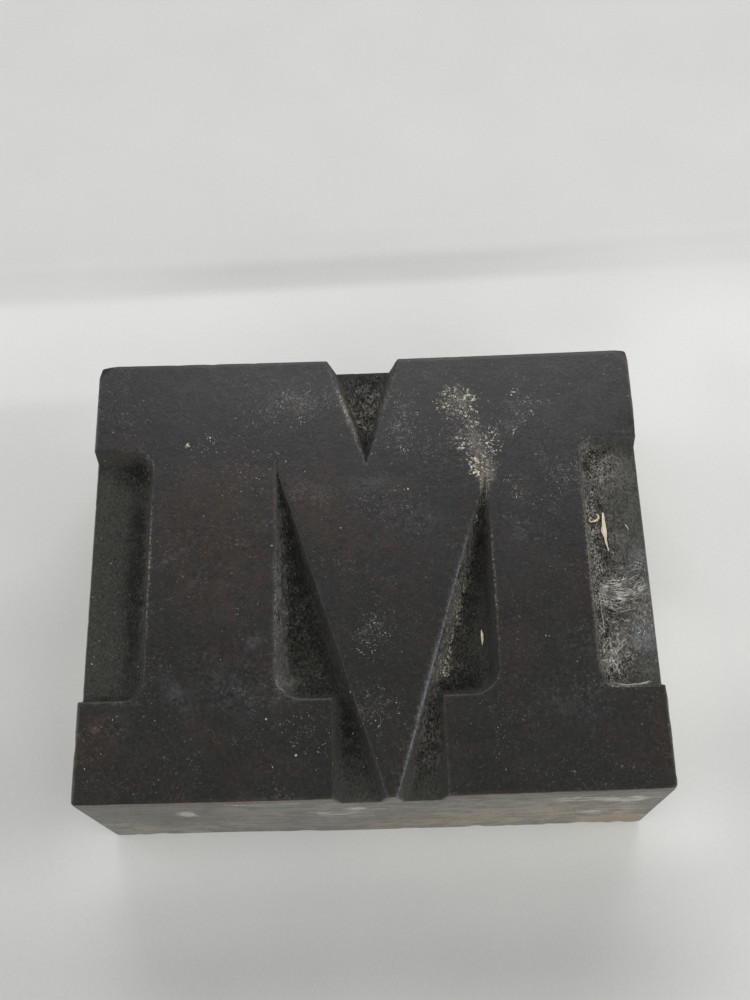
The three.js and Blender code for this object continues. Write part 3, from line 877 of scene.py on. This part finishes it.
# Single bright grains: their places, their sizes, and how much longer than wide they are.
bright_grains = [
    (18.4, 21.6, 0.30, 2.6), (18.1, 21.2, 0.24, 1.2), (18.9, 21.9, 0.2, 3.0), (20.1, 20.8, 0.30, 2.2),
    (20.5, 21.0, 0.2, 2.0), (20.4, 19.9, 0.24, 2.0), (20.4, 18.9, 0.28, 1.6), (20.6, 18.5, 0.18, 2.6),
    (22.6, 20.3, 0.18, 2.4), (23.9, 21.1, 0.2, 1.6), (18.2, 16.5, 0.30, 2.8), (18.0, 16.0, 0.26, 2.4),
    (18.4, 16.9, 0.18, 2.0), (20.7, 16.2, 0.18, 2.0), (20.5, 13.1, 0.30, 1.2), (-15.0, 11.9, 0.32, 1.0),
    (-11.2, 2.4, 0.34, 1.0), (-8.4, -22.2, 0.34, 1.0), (-11.7, -18.1, 0.26, 1.2), (-2.3, -15.2, 0.24, 1.4),
    (0.4, -18.6, 0.2, 1.0), (19.9, -9.5, 0.24, 1.0), (23.2, -12.6, 0.2, 1.0), (5.0, 9.1, 0.24, 1.0),
    (-3.1, 4.4, 0.22, 1.0), (-18.8, 16.7, 0.26, 1.4), (-32.0, -10.6, 0.26, 1.0), (-26.7, -11.1, 0.24, 1.0),
]
for x, y, size, stretch in bright_grains:
    lay_crumb(grains, x, y, size, stretch)
pale_grains = finished(grains, "pale_grains")
grit_shade = (0.11, 0.108, 0.103)
grit_light = (0.62, 0.60, 0.56)
patchy_finish(pale_grains, "pale_grit", 0.75, (1.4, 3, 0.7), 0.4, 0.72, grit_shade, grit_light)
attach(pale_grains, "root")

# The lint
# Cotton lint and torn wood fibre that have caught on the rough floors of the cuts. Every strand is a fine hair
# that wanders over the floor, and all of them are drawn out together, a step at a time.
lint_luck = random.Random(23)
lint_steps = 9
strand_gap = 0.02
# A strand lies on wood that is this far below the face and faces up this much. Where it would leave such wood,
# it turns, a few times if need be. It keeps this far inside the block.
cut_reach = 1.6
level_enough = 0.7
heading_tries, heading_turn = 8, 0.8
side_gap = 0.6


def wander(x, y, length, lift, curl):
    """A path for one strand over the floor of a cut, from a place in it."""
    heading = lint_luck.uniform(0, math.tau)
    bend = lint_luck.uniform(-curl, curl)
    step = length / lint_steps
    path = []
    for count in range(lint_steps + 1):
        for _ in range(heading_tries):
            place, facing = rest_place(x + step * math.cos(heading), y + step * math.sin(heading))
            if place and place.z < type_height - cut_reach and facing.z > level_enough:
                break
            heading += heading_turn
        else:
            place, _ = rest_place(x, y)
        x, y = place.x, place.y
        rise = lift * math.sin(math.pi * count / lint_steps) + strand_gap
        path.append(Vector((x, y, place.z + rise * lint_luck.uniform(0.5, 1.0))))
        heading += bend + lint_luck.uniform(-1, 1) * curl
        bend = (bend + lint_luck.uniform(-0.5, 0.5) * curl) * 0.8
    return path


def pushed_on(bm, ends, first):
    """Extrudes the end faces: the new end faces, and the new vertex that each old one leads to."""
    made = bmesh.ops.extrude_face_region(bm, geom=ends, use_keep_orig=first)["geom"]
    fresh = {v for v in made if isinstance(v, bmesh.types.BMVert)}
    ahead = {
        v: next(e.other_vert(v) for e in v.link_edges if e.other_vert(v) in fresh)
        for f in ends for v in f.verts
    }
    return [f for f in made if isinstance(f, bmesh.types.BMFace)], ahead


tip_share = 0.3


def draw_out(name, paths, thickness):
    """A mesh of thin three-sided strands along the paths, which all have the same number of points."""
    lint = bmesh.new()
    rings = []
    for path, thick in zip(paths, thickness):
        ring = bmesh.ops.create_circle(lint, segments=3, radius=thick / 2, cap_ends=True)["verts"]
        facing = UP.rotation_difference(path[1] - path[0]).to_matrix().to_4x4()
        bmesh.ops.transform(lint, matrix=Matrix.Translation(path[0]) @ facing, verts=ring)
        rings.append(ring)
    ends = [ring[0].link_faces[0] for ring in rings]
    for count in range(1, lint_steps + 1):
        last = count == lint_steps
        rows = [[v.co.copy() for v in ring] for ring in rings]
        ends, ahead = pushed_on(lint, ends, count == 1)
        for index, (ring, path, row) in enumerate(zip(rings, paths, rows)):
            behind, here = path[count - 1], path[count]
            swing = None if last else (here - behind).rotation_difference(path[count + 1] - here)
            rings[index] = [ahead[v] for v in ring]
            for v, before in zip(rings[index], row):
                offset = before - behind
                if swing:
                    offset.rotate(swing)
                v.co = here + offset * (tip_share if last else 1)
    bmesh.ops.recalc_face_normals(lint, faces=lint.faces)
    return finished(lint, name)


def lint_patch(marks, count, length, lift, curl):
    """Paths for short strands under the marks, of which those that would start on the face are left out."""
    paths = []
    for x, y in scatter(marks, count, 1.2, lint_luck):
        x = min(max(x, -half_width + side_gap), half_width - side_gap)
        place, _ = rest_place(x, y)
        if place.z < type_height - cut_reach:
            paths.append(wander(x, y, lint_luck.uniform(*length), lift, curl))
    return paths


# White lint lies in the right side cut: short strands under these marks, sweeps of longer ones, and a few
# single strands that run through the places given.
white_lint_marks = [
    (29.4, -3.6, 3.0, 1.3, 6, 1.6), (27.2, -11.9, 0.8, 0.8, 0, 6.0), (29.6, -8.0, 3.0, 5.0, 0, 0.2),
    (27.0, -2.0, 0.7, 12.0, 0, 0.3), (27.6, -14.2, 1.5, 0.5, 10, 0.8),
]
long_strands = [
    ((27.1, -5.2), (27.6, -5.4), (28.2, -5.5), (29.0, -5.2), (29.7, -4.8), (30.4, -4.6), (31.1, -4.4),
     (31.8, -4.0)),
    ((26.2, -2.7), (26.7, -3.5), (27.5, -4.0), (28.3, -4.2), (30.0, -4.2), (31.4, -3.9), (32.2, -3.3),
     (32.4, -2.6)),
    ((28.4, -3.7), (29.3, -3.4), (30.0, -3.1), (30.8, -2.9), (31.4, -2.8), (32.0, -2.7), (32.3, -2.6),
     (32.4, -2.4)),
    ((26.3, 3.2), (26.5, 2.3), (26.8, 1.9), (27.2, 1.6), (27.8, 1.4), (28.4, 1.2), (28.8, 1.0), (29.1, 0.7)),
    ((26.3, -2.9), (27.4, -4.3), (28.6, -4.9), (29.8, -4.8), (30.9, -4.2), (31.6, -3.3), (32.0, -2.4),
     (32.3, -1.6)),
    ((26.1, -4.7), (27.6, -5.0), (28.9, -5.4), (30.0, -4.7), (31.2, -4.2), (32.0, -3.4), (32.2, -2.5),
     (31.6, -2.0)),
    ((28.3, 1.6), (28.6, 1.5), (28.8, 1.3), (28.9, 0.9), (28.85, 0.6), (28.7, 0.4), (28.8, 0.2), (29.0, 0.1)),
    ((27.6, -10.3), (28.1, -11.1), (28.2, -12.0), (28.0, -12.8), (27.6, -13.4), (27.2, -13.9),
     (26.9, -14.6), (27.4, -15.0)),
    ((28.9, -14.4), (29.2, -14.8), (29.3, -15.2), (29.9, -15.2), (30.6, -15.1), (31.1, -15.0),
     (31.6, -14.7), (32.0, -14.6)),
]


def part_way(points, share):
    """The place in plan that lies that share of the way through a run of points."""
    along = share * (len(points) - 1)
    first = min(int(along), len(points) - 2)
    return Vector(points[first]).lerp(Vector(points[first + 1]), along - first)


def laid(points, lift):
    """A strand laid over the block through given places in plan."""
    path = []
    for count in range(lint_steps + 1):
        place, _ = rest_place(*part_way(points, count / lint_steps))
        path.append(place + UP * (strand_gap + lift * math.sin(math.pi * count / lint_steps)))
    return path


# How far across the right side cut its sweeps of lint reach.
lint_edges = (26.35, 32.4)


def swept(sweep, spread):
    """A strand that lies along part of a sweep of lint, off to one side of it."""
    away_x, away_y = lint_luck.gauss(0, spread), lint_luck.gauss(0, spread)
    start = lint_luck.uniform(0, 0.65)
    stop = min(1, start + lint_luck.uniform(0.2, 0.6))
    points = []
    for count in range(lint_steps + 1):
        x, y = part_way(sweep, start + (stop - start) * count / lint_steps)
        x, y = x + away_x + lint_luck.gauss(0, 0.05), y + away_y + lint_luck.gauss(0, 0.05)
        points.append((min(max(x, lint_edges[0]), lint_edges[1]), y))
    return laid(points, lint_luck.uniform(0.05, 0.3))


# Each sweep: the places that it runs through, how widely it is spread, and how many strands it has.
lint_sweeps = [
    ([(26.4, -2.4), (27.4, -3.8), (29.2, -4.5), (31.0, -4.4), (32.4, -3.4)], 0.4, 42),
    ([(26.8, -2.2), (28.2, -3.2), (30.0, -3.2), (31.4, -2.4), (32.4, -1.0)], 0.55, 22),
    ([(27.7, -1.6), (29.6, -1.0), (31.2, -0.8), (32.4, -1.2)], 0.45, 12),
    ([(26.5, -3.0), (27.2, -5.4), (29.0, -6.2), (30.8, -5.8)], 0.5, 12),
    ([(26.4, 1.6), (26.6, -0.8), (26.7, -3.0), (26.9, -5.6), (27.0, -8.2), (26.9, -10.4)], 0.2, 4),
    ([(26.6, -12.4), (27.4, -11.6), (28.6, -10.4), (29.8, -9.6)], 0.24, 20),
    ([(26.9, -10.8), (27.2, -12.0), (27.8, -13.2), (28.8, -14.2)], 0.3, 16),
    ([(27.2, -14.6), (28.6, -15.0), (30.2, -15.0), (31.6, -14.6)], 0.12, 12),
]
white_count = 210
white_paths = lint_patch(white_lint_marks, white_count, (0.3, 1.1), 0.12, 0.5)
for sweep, spread, count in lint_sweeps:
    white_paths += [swept(sweep, spread) for _ in range(count)]
white_paths += [laid(points, 0.25) for points in long_strands]
white_lint = draw_out("white_lint", white_paths,
    [lint_luck.choice((0.025, 0.03, 0.04, 0.05, 0.065)) for _ in white_paths])
cotton_shade = (0.17, 0.165, 0.15)
cotton_light = (0.74, 0.72, 0.67)
patchy_finish(white_lint, "cotton", 0.8, (1.2, 3, 0.7), 0.35, 0.65, cotton_shade, cotton_light)
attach(white_lint, "root")

# Torn wood fibre lies in the pockets, the channels and the notch.
pocket_marks = [
    (8.4, -7.0, 0.7, 8.0, -17, 1.4), (-9.6, -5.0, 0.6, 9.0, 0, 1.2), (-1.6, 19.0, 0.7, 5.0, 18, 1.4),
    (13.6, 4.0, 0.9, 5.0, 0, 1), (-9.6, 5.0, 0.9, 5.0, 0, 1), (9.6, -6.0, 2.0, 8.0, -14, 1),
    (8.6, -12.4, 2.8, 1.8, 0, 1), (6.4, -19.6, 1.2, 4.6, -14, 1), (-8.2, -9.0, 1.6, 5.0, 10, 1),
    (-7.6, -13.2, 2.2, 1.4, 0, 1), (-2.2, -21.0, 1.0, 4.4, 14, 1), (0.3, 21.4, 2.2, 4.0, 0, 1),
]
torn_count = 700
tan_paths = lint_patch(pocket_marks, torn_count, (0.2, 0.8), 0.04, 0.4)
torn_fibre = draw_out("torn_fibre", tan_paths, [lint_luck.uniform(0.02, 0.04) for _ in tan_paths])
fibre_shade = (0.030, 0.029, 0.024)
fibre_light = (0.17, 0.155, 0.125)
patchy_finish(torn_fibre, "fibre_wood", 0.8, (1.6, 3, 0.7), 0.35, 0.7, fibre_shade, fibre_light)
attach(torn_fibre, "root")

# The splinter
# A pale splinter of fresh wood and curls of shaving that fell into the right side cut, with smaller bits there
# and in the right pocket. All are thin strips, cut or torn off another block, that lie loose on the floor.
shavings = bmesh.new()
ribbon_gap = 0.01


def lay_ribbon(points, widths, thick, lift, tilt=0.0):
    """A thin strip of wood through given places in plan, as wide as given at each, lying on the block."""
    spine = []
    for count, (x, y) in enumerate(points):
        place, _ = rest_place(x, y)
        rise = lift * math.sin(math.pi * count / (len(points) - 1))
        spine.append(place + UP * (thick / 2 + ribbon_gap + rise))
    ring = bmesh.ops.create_circle(shavings, segments=4, radius=1, cap_ends=True)["verts"]
    ends = [ring[0].link_faces[0]]
    corners = ((1, 1), (-1, 1), (-1, -1), (1, -1))
    for count, (centre, width) in enumerate(zip(spine, widths)):
        if count:
            ends, after = pushed_on(shavings, ends, count == 1)
            ring = [after[v] for v in ring]
        ahead = (spine[min(count + 1, len(spine) - 1)] - spine[max(count - 1, 0)]).normalized()
        sideways = ahead.cross(UP).normalized()
        sideways.rotate(Matrix.Rotation(tilt, 3, ahead))
        upwards = sideways.cross(ahead)
        for v, (side, rise) in zip(ring, corners):
            v.co = centre + sideways * side * width / 2 + upwards * rise * min(thick, width) / 2


lay_ribbon([(28.20, 6.1), (28.18, 5.6), (28.15, 5.0), (28.15, 4.4), (28.18, 3.8), (28.20, 3.2),
    (28.18, 2.7), (28.22, 2.2), (28.30, 1.8), (28.36, 1.5), (28.45, 1.2)],
    [0.16, 0.28, 0.34, 0.44, 0.46, 0.36, 0.22, 0.24, 0.12, 0.12, 0.05], thick=0.16, lift=0.12, tilt=0.3)
lay_ribbon([(27.9, 4.4), (27.85, 4.0), (27.9, 3.6), (28.0, 3.2), (28.1, 2.9)],
    [0.05, 0.14, 0.18, 0.12, 0.04], thick=0.08, lift=0.08)
lay_ribbon([(27.45, 6.0), (27.6, 5.75), (27.6, 5.4), (27.35, 5.1), (26.95, 4.95), (26.6, 4.95), (26.45, 5.15)],
    [0.12, 0.20, 0.22, 0.24, 0.22, 0.18, 0.10], thick=0.08, lift=0.26, tilt=0.4)
lay_ribbon([(26.5, 5.2), (26.6, 5.4), (26.8, 5.5)], [0.08, 0.12, 0.05], thick=0.06, lift=0.05)
lay_ribbon([(30.65, 4.6), (30.8, 4.3), (30.95, 4.0), (31.05, 3.75)],
    [0.03, 0.08, 0.07, 0.03], thick=0.06, lift=0.04)
lay_ribbon([(12.9, -7.7), (12.95, -8.3), (12.95, -8.9), (12.9, -9.5)],
    [0.06, 0.28, 0.24, 0.05], thick=0.10, lift=0.05)
bmesh.ops.recalc_face_normals(shavings, faces=shavings.faces)
wood_splinter = finished(shavings, "wood_splinter")
splinter_light = (0.84, 0.75, 0.56)
splinter_shade = (0.55, 0.44, 0.27)
shader, at = material(wood_splinter, "fresh_wood", {"Roughness": 0.55})
at = stretched(at, (1, 0.2, 1))
join(blend(fade(clouds(at, 0.22, 3, 0.7), 0.35, 0.7), splinter_light, splinter_shade), shader["Base Color"])
join(raised_by(times(clouds(at, 0.12, 2), 0.1), 0.7), shader["Normal"])
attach(wood_splinter, "root")

# The stray hairs
# Short pale hairs and threads that have settled on the block: one bent into a triangle in the right side cut,
# one hooked on the face where the diagonals meet, and others on the heavy stem and in the right pocket.
hair_places = [
    [(29.2, 4.8), (29.6, 5.0), (30.2, 4.9), (30.5, 4.7), (30.2, 4.3), (29.8, 3.9), (29.5, 4.2), (29.2, 4.7)],
    [(0.1, -17.7), (0.5, -17.6), (0.9, -18.0), (1.0, -18.6), (0.9, -19.2), (0.5, -19.6), (0.1, -19.7),
     (-0.1, -19.5)],
    [(-18.2, -19.2), (-17.8, -19.0), (-17.4, -19.3), (-17.3, -19.8), (-17.6, -20.3), (-17.2, -20.6),
     (-16.8, -20.5), (-16.5, -20.8)],
    [(7.9, -12.5), (8.4, -12.2), (8.9, -11.7), (9.2, -11.3), (9.4, -10.9), (9.3, -10.5), (9.0, -10.4),
     (8.7, -10.6)],
]
hair_paths = [laid(points, 0.0) for points in hair_places]
stray_hairs = draw_out("stray_hairs", hair_paths, [0.04, 0.035, 0.022, 0.06])
hair_shade = (0.10, 0.10, 0.10)
hair_light = (0.30, 0.285, 0.26)
patchy_finish(stray_hairs, "hair_fibre", 0.5, (2.4, 2), 0.3, 0.7, hair_shade, hair_light)
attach(stray_hairs, "root")

# The stage
# A sheet of pale paper with light and shade painted on it, soft light from the right, the back and the left,
# and the camera of the photo.
half_sheet = 1500
below_foot = 0.02
floor_mesh = bmesh.new()
bmesh.ops.create_grid(floor_mesh, x_segments=1, y_segments=1, size=half_sheet)
bmesh.ops.translate(floor_mesh, vec=(0, 0, -below_foot), verts=floor_mesh.verts)
paper_sheet = finished(floor_mesh, "paper_sheet")
shader, at = material(paper_sheet, "paper", {"Roughness": 0.9, "Specular IOR Level": 0.1})
paper_tone = (0.707, 0.713, 0.694)
# Light and shade on the sheet are painted into its colour, in patches: a painted band of shade and light where
# the sheet folds behind the block, painted shade behind the fold, in front of the block and at its left front,
# and painted light beside the block and to the right. Each patch: from and to across, its softness, from and to
# along, its softness, and how much lighter or darker it is.
painted_light_patches = [
    (-400, 400, 1, 58, 900, 4, -0.070), (-400, 400, 1, 88, 900, 9, -0.020),
    (-400, 400, 1, 52.9, 58.5, 1.2, -0.050), (-30, 30, 15, 52.9, 57.5, 1.2, -0.085),
    (-30, 30, 15, 55, 61, 3, -0.030), (-400, 400, 1, 36, 51.5, 3, 0.024), (-400, -5, 25, 36, 53, 2, 0.080),
    (-400, 400, 1, -150, -15, 9, -0.150), (-30, 30, 12, -150, -40, 6, -0.090), (38, 90, 8, -60, 48, 6, 0.050),
    (38, 90, 8, 20, 48, 8, 0.030), (-45, 45, 9, -37, 37, 9, 0.130), (-37, 42, 6, -32.5, 0, 3.5, 0.130),
    (-90, -37, 5, -28, 6, 6, -0.075), (-90, -37, 8, -400, -28, 6, -0.035),
]
place = node("SeparateXYZ", {0: at}).outputs
fold_slant = -0.03
along_fold = times_plus(place[0], fold_slant, place[1])
lit = times_plus(clouds(at, 14, 3), 0.07, times_plus(clouds(at, 0.5, 2, 0.6), 0.09, 0.92))
# Each patch adds painted light or painted shade to the sheet's colour.
for left, right, soft_across, near, far, soft_along, gain in painted_light_patches:
    share = 1.0
    for value, first, last, soft in ((place[0], left, right, soft_across), (along_fold, near, far, soft_along)):
        share = times(share, fade(value, first - soft, first + soft))
        share = times(share, fade(value, last + soft, last - soft))
    lit = times_plus(share, gain, lit)
join(shaded(paper_tone, lit), shader["Base Color"])

scene = bpy.context.scene
world = bpy.data.worlds.new("room")
world.use_nodes = True
room_light = world.node_tree.nodes["Background"].inputs
room_light["Color"].default_value = (0.60, 0.605, 0.60, 1)
room_light["Strength"].default_value = 0.80
scene.world = world

# Each soft box: where it is, where it points, its size, and its power.
soft_boxes = [
    ("right_light", (330, -150, 290), (10, 0, 0), (420, 420), 0.86),
    ("back_light", (25, 338, 404), (0, 10, 0), (400, 170), 0.86),
    ("left_light", (-350, -60, 300), (0, 0, 0), (500, 500), 0.46),
]
for name, place, target, (width, length), watts in soft_boxes:
    lamp = bpy.data.objects.new(name, bpy.data.lights.new(name, "AREA"))
    lamp.data.shape = "RECTANGLE"
    lamp.data.size = width * MM
    lamp.data.size_y = length * MM
    lamp.data.energy = watts
    lamp.location = Vector(place) * MM
    lamp.rotation_euler = (Vector(target) - Vector(place)).to_track_quat("-Z", "Y").to_euler()
    scene.collection.objects.link(lamp)

camera = bpy.data.objects.new("camera", bpy.data.cameras.new("camera"))
camera.data.lens = 44.6
camera.data.sensor_width = 36
camera.data.clip_start = 0.005
camera.location = Vector((2.34, -49.36, 158.95)) * MM
camera.rotation_mode = "ZYX"
camera.rotation_euler = (0.3993, 0.00892, -0.03181)
scene.collection.objects.link(camera)
scene.camera = camera
scene.view_settings.view_transform = "Standard"
